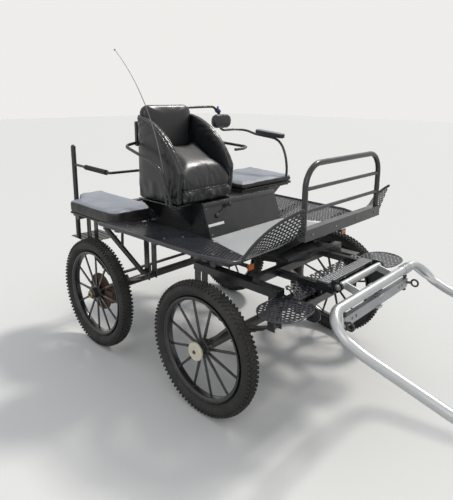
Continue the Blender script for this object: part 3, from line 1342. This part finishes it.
def dressFittings():
    clamp = makeDisc(*fittingLook["clamp"], 24, fittingLook["clampBevel"])
    moveMesh(clamp, at(*fittingLook["clampAt"]), turnedTo(fittingLook["clampWay"]))
    wing = makeDisc(*fittingLook["wing"], 12, fittingLook["wingBevel"])
    moveMesh(wing, at(*fittingLook["wingAt"]))
    finishPiece(joinPieces("tubeClamp", [clamp, wing]), "bluePlastic", "chassis")
    rings = [makeRing(k * fittingLook["wrapStep"]) for k in range(fittingLook["wrapCount"])]
    finishPiece(joinPieces("crossbarWrap", rings), "shaftMetal", "shafts")
    swivels = makeSwivel(-fittingLook["swivelY"]) + makeSwivel(fittingLook["swivelY"])
    finishPiece(joinPieces("swingletreeSwivels", swivels), "axleSteel", "swingletree_body")


def dressReflectors():
    low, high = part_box("reflectors")
    x = high.x - fittingLook["frameBack"]
    frames = []
    for side in (-1, 1):
        near, far = sorted((side * (high.y - fittingLook["frame"]), side * high.y))
        corners = [(x, near, low.z), (x, far, low.z), (x, far, high.z), (x, near, high.z)]
        frames.append(makeRod("reflectorFrame", corners, fittingLook["frameRod"], True, 2))
    finishPiece(joinPieces("reflectorFrames", frames), "axleSteel", "chassis")


# Strips that close the slit between each side platform and the seat box
stripLook = {"rear": -0.832, "front": -0.245, "inner": 0.3175, "outer": 0.3365, "low": 0.7955, "high": 0.7985,
             "bevel": 0.0008}


def makeStrip(side):
    strip = startBlock()
    for vertex in strip.data.vertices:
        rear, inner, low = (value < 0 for value in vertex.co)
        x, y, z = (stripLook[name] for name in (
            "rear" if rear else "front", "inner" if inner else "outer", "low" if low else "high"))
        vertex.co = at(x, side * y, z)
    if side < 0:
        strip.data.flip_normals()
    applyModifier(strip, "BEVEL", width=stripLook["bevel"], segments=2)
    return strip


dressFittings()
dressReflectors()
finishPiece(joinPieces("platformStrips", [makeStrip(side) for side in (-1, 1)]), "bluePlate", "chassis")
print("scene: fittings made")


# Floor, light and camera
stageLook = {"floorSize": 60.0, "floorColour": (0.62, 0.61, 0.59), "floorRoughness": 0.85,
             "floorDrop": 0.0005, "backColour": (0.86, 0.85, 0.83)}


def makeFloor():
    clearSelection()
    bpy.ops.mesh.primitive_grid_add(x_subdivisions=8, y_subdivisions=8, size=stageLook["floorSize"])
    floor = bpy.context.object
    floor.name = "stageFloor"
    moveMesh(floor, (0, 0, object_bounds()[0].z - stageLook["floorDrop"]))
    material = bpy.data.materials.new("floorFinish")
    material.use_nodes = True
    shader = material.node_tree.nodes["Principled BSDF"]
    shader.inputs["Base Color"].default_value = (*stageLook["floorColour"], 1)
    shader.inputs["Roughness"].default_value = stageLook["floorRoughness"]
    floor.data.materials.append(material)


lightLook = {"horizon": 0.16, "zenith": 0.95, "skyFrom": -0.05, "skyTo": 0.85, "skyColour": (0.90, 0.95, 1.0),
             "sun": 2.1, "sunColour": (1.0, 0.97, 0.92), "sunSpread": 9.0, "sunTurn": (-33.0, 20.0, 24.0),
             "fillEnergy": 55.0, "fillPlace": (2.6, -4.2, 3.6), "fillAim": (-0.8, 0, 0.7), "fillSize": 3.2}


# A sky that brightens upward lights the object; the camera and mirror rays see the pale backdrop
def makeWorld():
    world = bpy.data.worlds.new("studio")
    bpy.context.scene.world = world
    world.use_nodes = True
    tree = world.node_tree
    tree.nodes.clear()
    out = addNode(tree, "ShaderNodeOutputWorld")
    place = addNode(tree, "ShaderNodeTexCoord")
    split = addNode(tree, "ShaderNodeSeparateXYZ")
    rise = addRange(tree, lightLook["skyFrom"], lightLook["skyTo"], lightLook["horizon"])
    rise.interpolation_type = "SMOOTHSTEP"
    rise.inputs["To Max"].default_value = lightLook["zenith"]
    sky = addNode(tree, "ShaderNodeBackground", Color=(*lightLook["skyColour"], 1))
    backdrop = addNode(tree, "ShaderNodeBackground", Color=(*stageLook["backColour"], 1), Strength=1.0)
    path = addNode(tree, "ShaderNodeLightPath")
    mix = addNode(tree, "ShaderNodeMixShader")
    link(tree, place.outputs["Generated"], split.inputs[0])
    link(tree, split.outputs["Z"], rise.inputs["Value"])
    link(tree, rise.outputs[0], sky.inputs["Strength"])
    direct = combine(tree, "MAXIMUM", path.outputs["Is Camera Ray"], path.outputs["Is Glossy Ray"])
    showing = combine(tree, "MAXIMUM", direct, path.outputs["Is Transmission Ray"])
    link(tree, showing, mix.inputs["Fac"])
    link(tree, sky.outputs[0], mix.inputs[1])
    link(tree, backdrop.outputs[0], mix.inputs[2])
    link(tree, mix.outputs[0], out.inputs["Surface"])


def addToScene(name, data):
    thing = bpy.data.objects.new(name, data)
    bpy.context.scene.collection.objects.link(thing)
    return thing


def makeLamps():
    sunData = bpy.data.lights.new("keySun", "SUN")
    sunData.energy = lightLook["sun"]
    sunData.angle = math.radians(lightLook["sunSpread"])
    sunData.color = lightLook["sunColour"]
    addToScene("keySun", sunData).rotation_euler = [math.radians(turn) for turn in lightLook["sunTurn"]]
    fillData = bpy.data.lights.new("softFill", "AREA")
    fillData.energy = lightLook["fillEnergy"]
    fillData.size = lightLook["fillSize"]
    fill = addToScene("softFill", fillData)
    fill.location = lightLook["fillPlace"]
    aim = Vector(lightLook["fillAim"]) - Vector(lightLook["fillPlace"])
    fill.rotation_euler = aim.to_track_quat("-Z", "Y").to_euler()


# Found by fitting the wheels' spokes and outlines to the photograph; angles are in radians
cameraSetup = {"place": (0.8973, -2.0619, 1.5722), "yaw": 2.3312, "pitch": 0.2235, "roll": 0.0072,
               "focalPixels": 469.76, "pictureHigh": 500.0, "axisRow": 202.23, "sensor": 36.0,
               "clip": (0.05, 200)}


def makeCamera():
    yaw, pitch, roll, high = (cameraSetup[name] for name in ("yaw", "pitch", "roll", "pictureHigh"))
    ahead = Vector((math.cos(pitch) * math.cos(yaw), math.cos(pitch) * math.sin(yaw), -math.sin(pitch)))
    right = ahead.cross(Vector((0, 0, 1))).normalized()
    up = right.cross(ahead)
    rolledRight = math.cos(roll) * right + math.sin(roll) * up
    rolledUp = math.cos(roll) * up - math.sin(roll) * right
    data = bpy.data.cameras.new("photoCamera")
    data.sensor_width = cameraSetup["sensor"]
    data.lens = cameraSetup["focalPixels"] * cameraSetup["sensor"] / high
    data.shift_y = (cameraSetup["axisRow"] - high / 2) / high
    data.clip_start, data.clip_end = cameraSetup["clip"]
    camera = addToScene("photoCamera", data)
    turn = Matrix((rolledRight, rolledUp, -ahead)).transposed().to_4x4()
    camera.matrix_world = Matrix.Translation(cameraSetup["place"]) @ turn
    bpy.context.scene.camera = camera


makeFloor()
makeWorld()
makeLamps()
makeCamera()
bpy.context.scene.view_settings.view_transform = "Standard"
print("scene: floor, light and camera made")
